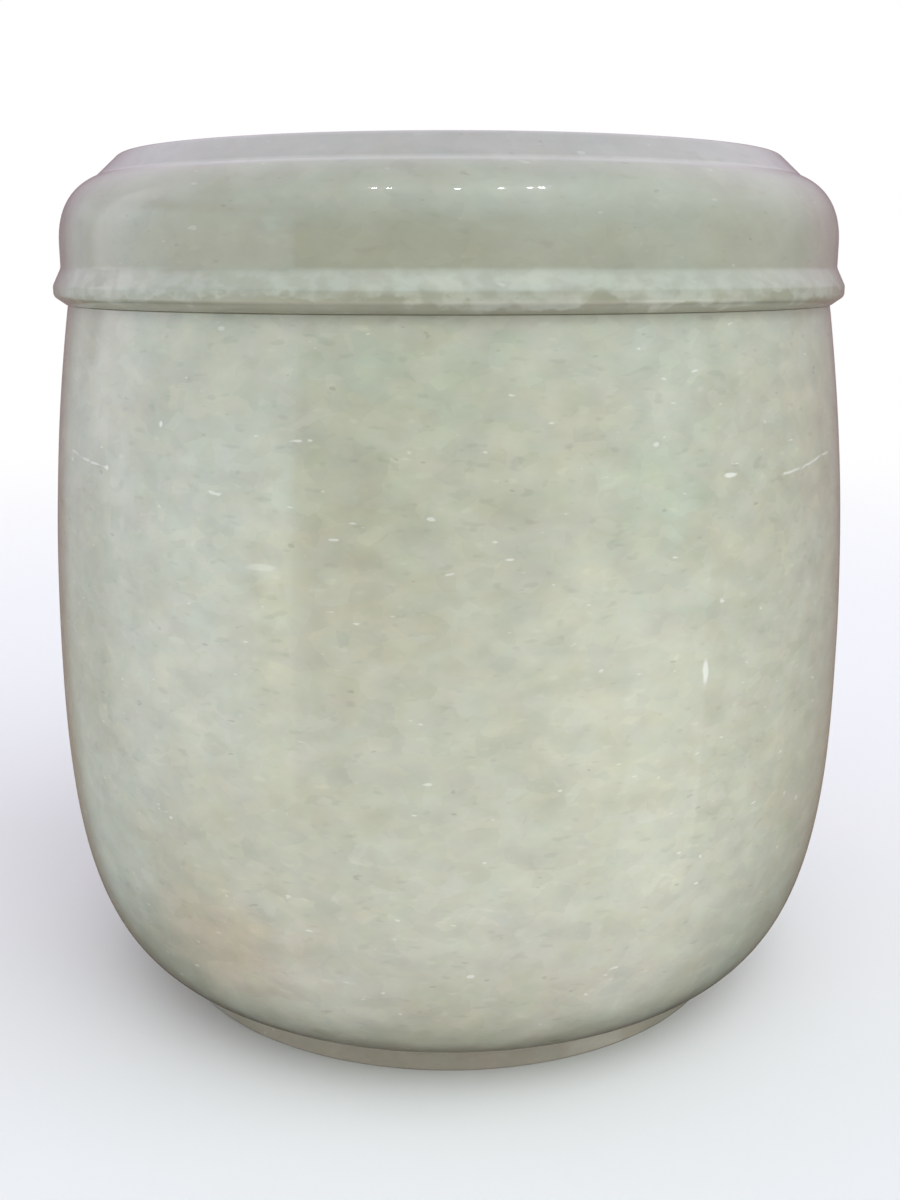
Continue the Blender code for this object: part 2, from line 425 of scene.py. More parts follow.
def turning_tree():
    """A tree that spins the profile, a line of points (radius, 0, height), round the Z axis."""
    tree = bpy.data.node_groups.new("Turned Stone", "GeometryNodeTree")
    for name, kind in TURNING_INPUTS.items():
        tree.interface.new_socket(name, in_out="INPUT", socket_type="NodeSocket" + kind)
    tree.interface.new_socket("Turned", in_out="OUTPUT", socket_type="NodeSocketGeometry")
    given = tree.nodes.new("NodeGroupInput").outputs

    seam_sides = maths(tree, "ADD", given["Sides"], 1)
    sheet = add_node(
        tree, "GeometryNodeMeshGrid",
        {"Size X": 1.0, "Size Y": 1.0, "Vertices X": given["Profile Points"], "Vertices Y": seam_sides},
    )
    place = add_node(tree, "GeometryNodeInputPosition")
    split = add_node(tree, "ShaderNodeSeparateXYZ", {0: place.outputs[0]})
    along = maths(tree, "ADD", split.outputs["X"], 0.5)
    last_point = maths(tree, "SUBTRACT", given["Profile Points"], 1)
    index = maths(tree, "ROUND", maths(tree, "MULTIPLY", along, last_point))
    round_share = maths(tree, "ADD", split.outputs["Y"], 0.5)
    angle = maths(tree, "MULTIPLY", round_share, math.tau)

    profile = given["Profile"]
    profile_place = add_node(tree, "GeometryNodeInputPosition").outputs[0]
    point = at_point(tree, profile, profile_place, index, "FLOAT_VECTOR")
    free = add_node(tree, "GeometryNodeInputNamedAttribute", {"Name": "free"}, data_type="FLOAT")
    freedom = at_point(tree, profile, free.outputs[0], index, "FLOAT")
    corner = add_node(tree, "ShaderNodeSeparateXYZ", {0: point})
    radius, height = corner.outputs["X"], corner.outputs["Z"]
    sideways = maths(tree, "MULTIPLY", radius, maths(tree, "SINE", angle))
    cosine = maths(tree, "MULTIPLY", maths(tree, "COSINE", angle), -1)
    depthways = maths(tree, "MULTIPLY", radius, cosine)
    turned_place = add_node(tree, "ShaderNodeCombineXYZ", {"X": sideways, "Y": depthways, "Z": height})

    wave_scale = maths(tree, "DIVIDE", 1, given["Unevenness Size"])
    waves = add_node(
        tree, "ShaderNodeTexNoise",
        {"Vector": turned_place.outputs[0], "W": given["Seed"], "Scale": wave_scale, "Detail": 1.0},
        noise_dimensions="4D",
    )
    centred = maths(tree, "MULTIPLY_ADD", waves.outputs["Fac"], 2, -1)
    wave = maths(tree, "MULTIPLY", centred, given["Unevenness"])
    swing = maths(tree, "MULTIPLY", wave, freedom)
    level_place = add_node(tree, "ShaderNodeCombineXYZ", {"X": sideways, "Y": depthways}).outputs[0]
    outward = vector_maths(tree, "NORMALIZE", level_place)
    offset = vector_maths(tree, "MULTIPLY", outward, swing)
    placed = add_node(
        tree, "GeometryNodeSetPosition",
        {"Geometry": sheet.outputs["Mesh"], "Position": turned_place.outputs[0], "Offset": offset},
    )
    closed = add_node(
        tree, "GeometryNodeMergeByDistance", {"Geometry": placed.outputs[0], "Distance": MERGE_DISTANCE}
    )
    smooth = add_node(tree, "GeometryNodeSetShadeSmooth", {"Geometry": closed.outputs[0]})
    real = add_node(tree, "GeometryNodeRealizeInstances", {"Geometry": smooth.outputs[0]})
    finished = add_node(
        tree, "GeometryNodeSetMaterial", {"Geometry": real.outputs[0], "Material": given["Stone"]}
    )
    add_node(tree, "NodeGroupOutput", {"Turned": finished.outputs[0]})
    return tree


def eased(room):
    """How free a point is to wander, from the room between it and where pieces must fit."""
    return min(1.0, max(0.0, room / FREE_DISTANCE))


def profile_mesh(name, points, freedom):
    """A line of points, which keeps as an attribute how far each one may wander."""
    mesh = bpy.data.meshes.new(name)
    edges = [(index, index + 1) for index in range(len(points) - 1)]
    mesh.from_pydata([(point.x, 0, point.y) for point in points], edges, [])
    free = mesh.attributes.new("free", "FLOAT", "POINT")
    free.data.foreach_set("value", freedom)
    return mesh


def turn_piece(name, points, freedom, stone, lift=0.0):
    """A closed turned object made by the turning tree from the profile's points."""
    settings = bpy.context.scene.urn.turning
    profile = profile_mesh(name + "_profile", points, freedom)
    blank = bpy.data.objects.new(name + "_blank", profile)
    bpy.context.scene.collection.objects.link(blank)
    tree = bpy.data.node_groups.get("Turned Stone") or turning_tree()
    turning = blank.modifiers.new("Turning", "NODES")
    turning.node_group = tree
    values = {
        "Profile Points": len(profile.vertices),
        "Sides": settings.sides,
        "Unevenness": settings.unevenness,
        "Unevenness Size": settings.unevenness_size,
        "Seed": settings.seed,
        "Stone": stone,
    }
    identifiers = {item.name: item.identifier for item in tree.interface.items_tree}
    for label, value in values.items():
        turning[identifiers[label]] = value
    seen = blank.evaluated_get(bpy.context.evaluated_depsgraph_get())
    mesh = bpy.data.meshes.new_from_object(seen)
    mesh.name = name
    blank.modifiers.remove(turning)
    bpy.data.objects.remove(blank)
    bpy.data.meshes.remove(profile)

    shape = bmesh.new()
    shape.from_mesh(mesh)
    bmesh.ops.recalc_face_normals(shape, faces=shape.faces)
    bmesh.ops.translate(shape, verts=shape.verts, vec=(0, 0, lift))
    open_edges = [edge for edge in shape.edges if not edge.is_manifold]
    shape.to_mesh(mesh)
    shape.free()
    if open_edges:
        raise RuntimeError(f"{name} is not closed: {len(open_edges)} open edges")
    mesh.set_sharp_from_angle(angle=SHARP_ANGLE)
    piece = bpy.data.objects.new(name, mesh)
    bpy.context.scene.collection.objects.link(piece)
    return piece


# Stone: clouds, bands, crystals, flecks, pits and pale lines, all on Object coordinates; some bands, clouds
# and lines are painted shade, highlights and reflections
Drift = namedtuple("Drift", "name size flatness low high")
Cloud = namedtuple("Cloud", "name azimuth height width depth colour strength")
Fleck = namedtuple("Fleck", "name azimuth height width depth strength")
Hairline = namedtuple("Hairline", "name start end thickness strength")

# How far noise of one size pushes the coordinates about, for ragged, broken and uneven edges
RAGGED_SIZE = 0.010
RAGGED_FLATNESS = 1.5
RAGGED_REACH = 0.016
BROKEN_REACH = 0.0055
UNEVEN_REACH = 0.002

# Shares of their own size inside which clouds, flecks and hairlines are full, and where they end
CLOUD_CORE = 0.25
FLECK_CORE = 0.5
BALL_EDGE = 1.2
HAIRLINE_CORE = 0.3
HAIRLINE_TAPER = (0.85, 1.05)
HAIRLINE_BREAK_SIZE = 0.0035
HAIRLINE_BREAK_SPAN = (0.36, 0.52)
HAIRLINE_LEAST = 0.25

# The grain: mottling and tinge are reaches of level, red and blue, and spans are of noise
MOTTLING = (0.22, 0.07, 0.07)
CRYSTAL_SIZE = 0.0050
CRYSTAL_FLATNESS = 1.5
CRYSTAL_TINGE = (0.042, 0.013, 0.020)
GRAIN_FLATNESS = 2.4
DASH_SIZE = 0.0052
DARK_DASH_SPAN = (0.64, 0.76)
DARK_DASH_DEPTH = 0.10
PALE_DASH_SPAN = (0.22, 0.36)
PALE_DASH_LIFT = 0.08
SPOT_SIZE = 0.0042
FLECK_SPAN = (0.74, 0.81)
PIT_SPAN = (0.20, 0.25)
PIT_SHARE = 0.35
PIT_BUMP = 0.35
PIT_DEPTH = 0.00012
BODY_SEED = 3.0
LID_SEED = 7.0
BODY_GRAIN = 1.0
LID_GRAIN = 0.6
BODY_FLECK_SHARE = 0.55
LID_FLECK_SHARE = 0.18

# Broad clouds all over a piece, then clouds, flecks and hairlines with places of their own
DRIFT_STRENGTH = 0.7
BODY_DRIFTS = (Drift("cool clouds", 0.075, 1.6, 0.42, 0.68), Drift("warm clouds", 0.060, 1.3, 0.45, 0.70))
LID_DRIFTS = (Drift("cool clouds", 0.055, 1.5, 0.42, 0.68), Drift("olive clouds", 0.045, 1.3, 0.45, 0.70))
BODY_CLOUDS = [
    Cloud("olive cloud left of the middle", -13, 0.152, 0.026, 0.028, (0.435, 0.445, 0.340), 0.65),
    Cloud("brown cloud left of the middle", -14, 0.126, 0.030, 0.028, (0.462, 0.452, 0.345), 0.50),
    Cloud("pale cool cloud on the left", -29, 0.150, 0.024, 0.032, (0.505, 0.525, 0.435), 0.70),
    Cloud("pale streak beside the brown", -19.5, 0.134, 0.007, 0.037, (0.560, 0.570, 0.465), 0.60),
    Cloud("pale cloud right of the middle", 18, 0.114, 0.018, 0.040, (0.525, 0.535, 0.435), 0.80),
    Cloud("pale cloud low in the middle", 5, 0.060, 0.060, 0.024, (0.510, 0.520, 0.425), 0.80),
    Cloud("green cloud under the lid", -3, 0.178, 0.030, 0.016, (0.435, 0.465, 0.350), 0.60),
    Cloud("green cloud on the right", 24, 0.150, 0.014, 0.014, (0.460, 0.500, 0.395), 0.60),
    Cloud("brown stain low on the left", -31, 0.040, 0.025, 0.020, (0.452, 0.420, 0.315), 0.90),
    Cloud("brown cloud at the back", 160, 0.120, 0.060, 0.040, (0.455, 0.440, 0.335), 0.50),
    Cloud("pale cloud at the back", -140, 0.080, 0.060, 0.040, (0.510, 0.525, 0.430), 0.60),
    Cloud("pale cloud on the far right", 100, 0.130, 0.050, 0.050, (0.500, 0.515, 0.425), 0.50),
]
BODY_FLECKS = [
    Fleck("tall fleck on the right", 32.2, 0.1101, 0.0010, 0.0031, 0.70),
    Fleck("bright dash on the right", 36.2, 0.1546, 0.0021, 0.0006, 0.80),
    Fleck("small fleck on the right", 25, 0.1629, 0.0008, 0.0006, 0.50),
    Fleck("pale dash on the left", -22, 0.1364, 0.0042, 0.0008, 0.35),
    Fleck("small fleck on the left", -37.5, 0.1661, 0.0007, 0.0009, 0.80),
    Fleck("pale fleck under the lid", -28.5, 0.1874, 0.0012, 0.0005, 0.35),
    # This fleck ends the painted reflected line on the left
    Fleck("end of the painted reflected line on the left", -48.7, 0.1542, 0.0010, 0.0007, 0.75),
]
# The lines at the left and right are painted reflections; the one at the back is a healed crack
BODY_HAIRLINES = [
    Hairline("painted reflected line on the left", (-61, 0.1560), (-48.5, 0.1541), 0.00042, 0.80),
    Hairline("painted reflected line on the right", (46, 0.1528), (62.5, 0.1556), 0.00046, 0.70),
    Hairline("hairline at the back", (150, 0.118), (176, 0.112), 0.00050, 0.70),
]
# The lid's clouds share its darker colours, which are partly painted shade
LID_CLOUDS = [
    Cloud("olive cloud on the wall", -6, 0.203, 0.045, 0.010, (0.328, 0.332, 0.250), 0.40),
    Cloud("pale cloud on the shoulder", 14, 0.219, 0.030, 0.010, (0.365, 0.386, 0.315), 0.50),
    Cloud("pale cloud on the right", 38, 0.212, 0.034, 0.020, (0.380, 0.392, 0.315), 0.60),
    Cloud("brown cloud on the left", -32, 0.205, 0.030, 0.012, (0.345, 0.338, 0.252), 0.80),
    # Painted reflections: rosy colour on the lid's left and right edges
    Cloud("painted reflection on the right edge", 62, 0.207, 0.018, 0.020, (0.385, 0.350, 0.300), 0.70),
    Cloud("painted reflection on the left edge", -64, 0.207, 0.018, 0.022, (0.375, 0.350, 0.310), 0.60),
    Cloud("pale cloud at the back", 150, 0.215, 0.060, 0.025, (0.375, 0.390, 0.315), 0.50),
    Cloud("olive cloud at the back", -150, 0.215, 0.050, 0.025, (0.325, 0.332, 0.250), 0.50),
]

# Bands: their heights, the half width of their soft edges and the share that shows
# Painted shade on the body just under the lid
UNDER_LID_SHADE_DEPTH = 0.0018
UNDER_LID_SHADE_FADE = 0.0014
UNDER_LID_SHADE_SHARE = 0.50
# A darker, browner band towards the bottom of the body
LOW_BAND_HEIGHT = 0.016
LOW_BAND_FADE = 0.009
LOW_BAND_SHARE = 0.80
FOOT_FADE = 0.0006
FOOT_SHARE = 0.80
# Painted reflection round the raised top's edge
RAISED_TOP_EDGE = 0.010
RAISED_TOP_FADE = 0.008
RAISED_TOP_SHARE = 0.90
STEP_FADE = 0.0008
# Painted highlight round the step's foot
STEP_LINE_BELOW = 0.0006
STEP_LINE_ABOVE = 0.0005
STEP_LINE_FADE = 0.0003
STEP_LINE_SHARE = 0.55
# Painted shade under the bead
UNDER_BEAD_FADE = 0.0012
UNDER_BEAD_SHARE = 0.80
# Painted shade along the lid's joint
LID_JOINT_FADE = 0.0010
LID_JOINT_SHARE = 0.60
# Painted reflection along the bead, broken into patches by noise
BEAD_TOP_MARGIN = 0.0006
BEAD_FADE = 0.0014
BEAD_FOOT_FADE = 0.0007
REFLECTION_PATCH_SIZE = 0.0048
REFLECTION_PATCH_FLATNESS = 1.3
REFLECTION_PATCH_SPAN = (0.36, 0.60)
REFLECTION_PATCH_LEAST = 0.30


def on_wall(azimuth, radius, height):
    """The point of a wall of that radius at an azimuth in degrees."""
    angle = math.radians(azimuth)
    return Vector((radius * math.sin(angle), -radius * math.cos(angle), height))


def on_body(azimuth, height):
    """The point of the body's wall at an azimuth in degrees and a height above the widest level."""
    sizes = bpy.context.scene.urn.body
    share = max(0.0, (height - sizes.widest_height) / (sizes.rim_height - sizes.widest_height))
    return on_wall(azimuth, sizes.radius - (sizes.radius - sizes.rim_radius) * share**2, height)


class StonePaint:
    """Builds one stone's colour, layer over layer, in a material's node tree."""

    def __init__(self, name, look, seed):
        self.material = bpy.data.materials.new(name)
        self.material.use_nodes = True
        self.tree = self.material.node_tree
        self.shader = self.tree.nodes["Principled BSDF"]
        self.look = look
        self.seed = seed
        self.place = add_node(self.tree, "ShaderNodeTexCoord").outputs["Object"]
        self.swirl = self.noise_node(RAGGED_SIZE, RAGGED_FLATNESS, 4, 0).outputs["Color"]
        centred = self.vector("SUBTRACT", self.swirl, (0.5, 0.5, 0.5))
        self.ragged_place, self.broken_place, self.uneven_place = (
            self.vector("ADD", self.place, self.vector("MULTIPLY", centred, (reach,) * 3))
            for reach in (RAGGED_REACH, BROKEN_REACH, UNEVEN_REACH)
        )
        self.paint = None

    def maths(self, operation, *values):
        return maths(self.tree, operation, *values)

    def vector(self, operation, *values):
        return vector_maths(self.tree, operation, *values)

    def flattened(self, flatness, number, place=None):
        """Coordinates that make a texture's features flatter, shifted by a number of their own."""
        shift = (self.seed + number, self.seed - number, self.seed * 2 + number)
        inputs = {"Vector": place or self.place, "Location": shift, "Scale": (1, 1, flatness)}
        return add_node(self.tree, "ShaderNodeMapping", inputs).outputs[0]

    def noise_node(self, size, flatness, detail, number):
        inputs = {"Vector": self.flattened(flatness, number), "Scale": 1 / size, "Detail": detail}
        return add_node(self.tree, "ShaderNodeTexNoise", inputs)

    def noise(self, size, flatness, detail, number):
        """Noise from 0 to 1 whose features are about `size` long and flatter by `flatness`."""
        return self.noise_node(size, flatness, detail, number).outputs["Fac"]

    def remap(self, value, low, high, to_low=0.0, to_high=1.0):
        return eased_map(self.tree, value, low, high, to_low, to_high)

    def lay(self, factor, tint, label, mode="MIX"):
        """Lays a tint over the paint where the factor says."""
        if not isinstance(tint, bpy.types.NodeSocket):
            tint = (*tint, 1.0)
        inputs = {"Factor": factor, 6: self.paint, 7: tint}
        node = add_node(self.tree, "ShaderNodeMix", inputs, data_type="RGBA", blend_type=mode, label=label)
        self.paint = node.outputs[2]

    def lay_part(self, factor, strength, tint, label):
        """Lays a tint over the paint with part of its strength where the factor says."""
        self.lay(self.maths("MULTIPLY", factor, strength), tint, label)

    def shade(self, red, green, blue, label):
        """Multiplies the paint's three channels."""
        levels = add_node(self.tree, "ShaderNodeCombineColor", {0: red, 1: green, 2: blue})
        self.lay(1.0, levels.outputs[0], label, "MULTIPLY")

    def start(self, tint):
        self.paint = add_node(self.tree, "ShaderNodeRGB").outputs[0]
        self.paint.default_value = (*tint, 1.0)

    def ball(self, place, centre, width, depth, core):
        """1 in the core of a ball of that width and depth round the centre, fading to its edge."""
        away = self.vector("SUBTRACT", place, centre)
        shaped = self.vector("MULTIPLY", away, (1 / width, 1 / width, 1 / depth))
        return self.remap(self.vector("LENGTH", shaped), core, BALL_EDGE, 1.0, 0.0)

    def above(self, place, low, soft):
        """1 above a height, with a soft edge."""
        height = add_node(self.tree, "ShaderNodeSeparateXYZ", {0: place}).outputs["Z"]
        return self.remap(height, low - soft, low + soft)

    def below(self, place, high, soft):
        """1 below a height, with a soft edge."""
        height = add_node(self.tree, "ShaderNodeSeparateXYZ", {0: place}).outputs["Z"]
        return self.remap(height, high - soft, high + soft, 1.0, 0.0)

    def outside(self, radius, soft):
        """1 outside a radius about the axis, and 0 well inside it."""
        level = self.vector("MULTIPLY", self.ragged_place, (1, 1, 0))
        return self.remap(self.vector("LENGTH", level), radius - soft, radius + soft)

    def drifts(self, drifts, tints):
        for number, (drift, tint) in enumerate(zip(drifts, tints), 1):
            spread = self.noise(drift.size, drift.flatness, 2, number)
            self.lay(self.remap(spread, drift.low, drift.high, 0.0, DRIFT_STRENGTH), tint, drift.name)

    def clouds(self, radius, clouds):
        for cloud in clouds:
            centre = on_wall(cloud.azimuth, radius, cloud.height)
            soft = self.ball(self.ragged_place, centre, cloud.width, cloud.depth, CLOUD_CORE)
            self.lay_part(soft, cloud.strength, cloud.colour, cloud.name)

    def flecks(self, flecks, tint):
        for fleck in flecks:
            centre = on_body(fleck.azimuth, fleck.height)
            spot = self.ball(self.uneven_place, centre, fleck.width, fleck.depth, FLECK_CORE)
            self.lay_part(spot, fleck.strength, tint, fleck.name)

    def hairlines(self, hairlines, tint):
        """Pale lines, each nearly straight between two points of the wall."""
        breaks = self.noise(HAIRLINE_BREAK_SIZE, 1, 1, 23)
        broken = self.remap(breaks, *HAIRLINE_BREAK_SPAN, HAIRLINE_LEAST, 1.0)
        for hairline in hairlines:
            start, end = on_body(*hairline.start), on_body(*hairline.end)
            middle, span = (start + end) / 2, end - start
            outward = Vector((middle.x, middle.y, 0)).normalized()
            across = span.cross(outward).normalized()
            away = self.vector("SUBTRACT", self.uneven_place, middle)
            offset = self.maths("ABSOLUTE", self.vector("DOT_PRODUCT", away, across))
            line = self.remap(offset, hairline.thickness * HAIRLINE_CORE, hairline.thickness, 1.0, 0.0)
            full_end, last_end = (span.length / 2 * share for share in HAIRLINE_TAPER)
            near = self.remap(self.vector("LENGTH", away), full_end, last_end, 1.0, 0.0)
            shown = self.maths("MULTIPLY", self.maths("MULTIPLY", line, near), hairline.strength)
            self.lay_part(shown, broken, tint, hairline.name)

    def tinge(self, colour, reaches, label):
        """Varies the paint's level, red and blue by the three channels of a colour."""
        parts = add_node(self.tree, "ShaderNodeSeparateColor", {0: colour}).outputs
        level, red, blue = (
            add_node(
                self.tree, "ShaderNodeMapRange", {0: part, 3: 1 - reach, 4: 1 + reach}, clamp=False
            ).outputs[0]
            for part, reach in zip(parts, reaches)
        )
        self.shade(level, level, level, label + ", level")
        self.shade(red, 1.0, blue, label + ", hue")

    def grain(self, strength, fleck_share):
        """Mottling, crystals, dashes, white flecks and pits; returns what the bump reads."""
        look = self.look
        self.tinge(self.swirl, [reach * strength for reach in MOTTLING], "mottling")
        place = self.flattened(CRYSTAL_FLATNESS, 5, self.broken_place)
        cells = add_node(self.tree, "ShaderNodeTexVoronoi", {"Vector": place, "Scale": 1 / CRYSTAL_SIZE})
        self.tinge(cells.outputs["Color"], [reach * strength for reach in CRYSTAL_TINGE], "crystals")
        dashes = self.noise(DASH_SIZE, GRAIN_FLATNESS, 1, 12)
        dark = self.remap(dashes, *DARK_DASH_SPAN, 1.0, 1 - DARK_DASH_DEPTH * strength)
        self.shade(dark, dark, dark, "dark dashes")
        pale = self.remap(dashes, *PALE_DASH_SPAN, 1 + PALE_DASH_LIFT * strength, 1.0)
        self.shade(pale, pale, pale, "pale dashes")
        spots = self.noise(SPOT_SIZE, GRAIN_FLATNESS, 1, 11)
        self.lay_part(self.remap(spots, *FLECK_SPAN), fleck_share, look.fleck_colour, "white flecks")
        pits = self.remap(spots, *PIT_SPAN, 1.0, 0.0)
        self.lay_part(pits, PIT_SHARE, look.pit_colour, "pits")
        return pits

    def finish(self, pits):
        look = self.look
        shader = self.shader
        self.tree.links.new(self.paint, shader.inputs["Base Color"])
        shader.inputs["Roughness"].default_value = look.roughness
        shader.inputs["Coat Weight"].default_value = look.coat
        shader.inputs["Coat Roughness"].default_value = look.coat_roughness
        relief = self.maths("SUBTRACT", 1.0, pits)
        bump = add_node(
            self.tree, "ShaderNodeBump", {"Strength": PIT_BUMP, "Distance": PIT_DEPTH, "Height": relief}
        )
        self.tree.links.new(bump.outputs[0], shader.inputs["Normal"])
        return self.material


def body_stone(look, sizes):
    paint = StonePaint("body_stone", look, BODY_SEED)
    paint.start(look.body_colour)
    paint.drifts(BODY_DRIFTS, (look.body_cool, look.body_warm))
    paint.clouds(sizes.radius, BODY_CLOUDS)
    # Painted shade just under the lid, where its overhang shades the body
    under_lid_shade = paint.above(paint.uneven_place, sizes.rim_height - UNDER_LID_SHADE_DEPTH, UNDER_LID_SHADE_FADE)
    paint.lay_part(under_lid_shade, UNDER_LID_SHADE_SHARE, look.under_lid_shade_colour, "painted shade under the lid")
    # Darker and browner towards the bottom
    lower_band = paint.below(paint.ragged_place, LOW_BAND_HEIGHT, LOW_BAND_FADE)
    paint.lay_part(lower_band, LOW_BAND_SHARE, look.low_band_colour, "lower_band")
    # Darker at the foot
    foot = paint.below(paint.place, sizes.foot_height, FOOT_FADE)
    paint.lay_part(foot, FOOT_SHARE, look.foot_colour, "foot")
    pits = paint.grain(BODY_GRAIN, BODY_FLECK_SHARE)
    # Pale lines: painted reflections at the sides, a healed crack at the back
    paint.hairlines(BODY_HAIRLINES, look.hairline_colour)
    paint.flecks(BODY_FLECKS, look.fleck_colour)
    return paint.finish(pits)


def lid_stone(look, sizes, lid):
    paint = StonePaint("lid_stone", look, LID_SEED)
    # The lid's darker colours are partly painted shade
    paint.start(look.lid_colour_and_shade)
    paint.drifts(LID_DRIFTS, (look.lid_cool_and_shade, look.lid_olive_and_shade))
    paint.clouds(sizes.rim_radius, LID_CLOUDS)
    step_height = SEAT_HEIGHT + lid.wall_height + lid.shoulder_rise
    step_radius = sizes.rim_radius + lid.standout - lid.shoulder_inset - lid.step_inset
    # Painted reflection: the rosy room that the raised top's edge reflects
    outer_ring = paint.outside(step_radius - RAISED_TOP_EDGE, RAISED_TOP_FADE)
    top = paint.maths("MULTIPLY", paint.above(paint.place, step_height, STEP_FADE), outer_ring)
    paint.lay_part(top, RAISED_TOP_SHARE, look.top_reflection_colour, "painted reflection round the raised top's edge")
    # Painted highlight: a pale line round the step's foot
    line_foot = paint.above(paint.place, step_height - STEP_LINE_BELOW, STEP_LINE_FADE)
    line_top = paint.below(paint.place, step_height + STEP_LINE_ABOVE, STEP_LINE_FADE)
    line = paint.maths("MULTIPLY", line_foot, line_top)
    paint.lay_part(line, STEP_LINE_SHARE, look.step_highlight_colour, "painted highlight at the step's foot")
    # Painted shade under the bead's nose
    under_bead_shade = paint.below(paint.place, SEAT_HEIGHT + lid.bead_nose_high, UNDER_BEAD_FADE)
    paint.lay_part(under_bead_shade, UNDER_BEAD_SHARE, look.bead_shade, "painted shade under the bead")
    # Painted shade along the lid's joint with the body
    joint = paint.below(paint.uneven_place, SEAT_HEIGHT + lid.bead_nose_low / 2, LID_JOINT_FADE)
    paint.lay_part(joint, LID_JOINT_SHARE, look.joint_shade, "painted shade along the lid's joint")
    # Painted reflection along the bead, broken into patches
    bead_top = SEAT_HEIGHT + lid.bead_height - BEAD_TOP_MARGIN
    over_seat = paint.above(paint.uneven_place, SEAT_HEIGHT, BEAD_FADE)
    under_top = paint.below(paint.uneven_place, bead_top, BEAD_FADE)
    over_foot = paint.above(paint.ragged_place, SEAT_HEIGHT + lid.bead_nose_low, BEAD_FOOT_FADE)
    bead = paint.maths("MULTIPLY", paint.maths("MULTIPLY", over_seat, under_top), over_foot)
    reflection_patches = paint.remap(paint.noise(REFLECTION_PATCH_SIZE, REFLECTION_PATCH_FLATNESS, 2, 4), *REFLECTION_PATCH_SPAN, REFLECTION_PATCH_LEAST, 1.0)
    paint.lay_part(bead, reflection_patches, look.bead_reflection_colour, "bead")
    return paint.finish(paint.grain(LID_GRAIN, LID_FLECK_SHARE))


def dress(piece, node):
    """Lets the piece stand for its CAD node."""
    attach(piece, "root")
    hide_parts(node)


class URN_OT_turn_body(bpy.types.Operator):
    """Turn the hollow body on its low foot and polish its stone"""

    bl_idname = "urn.turn_body"
    bl_label = "Turn Body"

    def execute(self, context):
        settings = context.scene.urn
        sizes = settings.body
        profile = supported(rounded(body_inside(sizes) + body_outside(sizes)))
        rim_index = max(range(len(profile)), key=lambda index: profile[index].y)
        freedom = []
        for index, point in enumerate(profile):
            room = min(point.y - sizes.foot_height, sizes.rim_height - sizes.rim_edge - point.y)
            freedom.append(eased(room) if index > rim_index else 0.0)
        piece = turn_piece("urn_body", profile, freedom, body_stone(settings.stone, sizes))
        dress(piece, "body")
        return {"FINISHED"}


class URN_OT_turn_lid(bpy.types.Operator):
    """Turn the lid with its bead, shoulder and raised top and polish its stone"""

    bl_idname = "urn.turn_lid"
    bl_label = "Turn Lid"

    def execute(self, context):
        settings = context.scene.urn
        sizes, lid = settings.body, settings.lid
        outside = lid_outside(lid, sizes.rim_radius)
        corners = outside + lid_underside(lid, mouth_radius(sizes))
        profile = supported(rounded(corners))
        freedom = [eased(point.y - lid.bead_height) for point in profile]
        stone = lid_stone(settings.stone, sizes, lid)
        piece = turn_piece("urn_lid", profile, freedom, stone, SEAT_HEIGHT)
        dress(piece, "lid")
        return {"FINISHED"}


# Stage: the polish reflects a soft room, with a colour for each elevation, and panels added to it
Panel = namedtuple("Panel", "name azimuths azimuth_softness elevations elevation_softness colour")
ROOM_FRONT = [
    (-80, (0.20, 0.12, 0.12)),
    (-49, (0.98, 0.70, 0.67)),
    (-30, (1.12, 0.97, 0.82)),
    (-15, (0.90, 0.70, 0.45)),
    (0, (0.24, 0.12, 0.02)),
    (16, (0.04, 0.04, 0.04)),
    (35, (0.62, 0.66, 0.80)),
    (55, (0.80, 0.84, 0.90)),
    (80, (0.66, 0.59, 0.74)),
]
ROOM_BACK = [
    (-40, (0.02, 0.02, 0.02)),
    (-19, (0.26, 0.20, 0.16)),
    (6, (0.30, 0.22, 0.25)),
    (32, (0.82, 0.75, 0.87)),
    (55, (0.82, 0.76, 0.89)),
    (80, (0.66, 0.59, 0.74)),
]
ROOM_BRIGHTEST = 1.2
ROOM_PANELS = [
    Panel("tall panel on the left", (-105, -54), (8, 2), (-21, 22), (8, 5), (0.67, 0.83, 0.99)),
    Panel("upper panel beside it", (-54, -42.3), (2, 2.2), (-3, 22), (2, 6), (0.74, 0.90, 1.10)),
    Panel("lower panel beside it", (-54, -42.3), (2, 1.2), (-25, -3), (5, 2), (0.60, 0.61, 0.42)),
    Panel("panel low on the right", (49.7, 75), (2, 1), (-34, -11), (2, 3), (0.67, 0.73, 0.68)),
    Panel("panel high on the right", (49.7, 75), (2, 2), (-11, 18), (3, 5), (0.10, 0.24, 0.31)),
    Panel("panel beyond the tall one", (-119, -103), (4, 7), (-2, 38), (5, 8), (0.58, 0.56, 0.62)),
    Panel("panel on the far left", (-140, -105), (8, 8), (-34, 18), (5, 5), (0.22, 0.29, 0.29)),
]
ROOM_TURN_START = 60.0
ROOM_TURN_END = 125.0
FLOOR_SIDES = 96
FLOOR_ROUGHNESS = 0.9
FLOOR_GLOSS = 0.1
FLOOR_FADE_START = 0.3
FLOOR_FADE_END = 1.3
LAMP_AZIMUTHS = (-28.5, -22.5, 3, 19.5, 31, 35.5)
LAMP_ELEVATION = math.radians(56)
LAMP_DISTANCE = 1.3
LAMP_AIM = Vector((0, 0, 0.2))
SUN_ANGLE = math.radians(80)
SUN_TILT = math.radians(52)
KEY_AZIMUTH = math.radians(45)
FILL_AZIMUTH = math.radians(4)
CAMERA_FRAME = 36.0
CAMERA_NEAREST = 0.01


